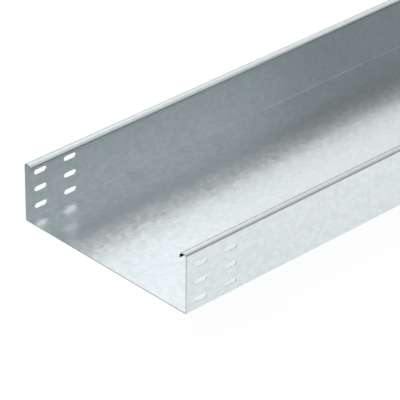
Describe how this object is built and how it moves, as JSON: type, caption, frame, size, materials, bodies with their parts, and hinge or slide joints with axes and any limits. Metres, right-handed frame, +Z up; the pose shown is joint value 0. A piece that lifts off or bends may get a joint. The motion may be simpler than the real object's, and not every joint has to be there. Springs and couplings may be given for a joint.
{
  "type": "solid cable tray",
  "caption": "Solid-floor cable tray of folded galvanised steel sheet, with upright sides, inward hooked rims and bolt slots near its ends for joint plates.",
  "frame": {"origin": "middle of the tray's underside, on the surface that it lies on", "axes": "+Y along the length, away from the end that the picture shows; +X across the width; +Z up, out of the open top"},
  "size_m": [0.3, 3, 0.085],
  "materials": {
    "galvanised_steel": "strip galvanised, satin bright with a fine spangle"
  },
  "bodies": {
    "root": {"tray": "galvanised_steel"}
  },
  "joints": []
}
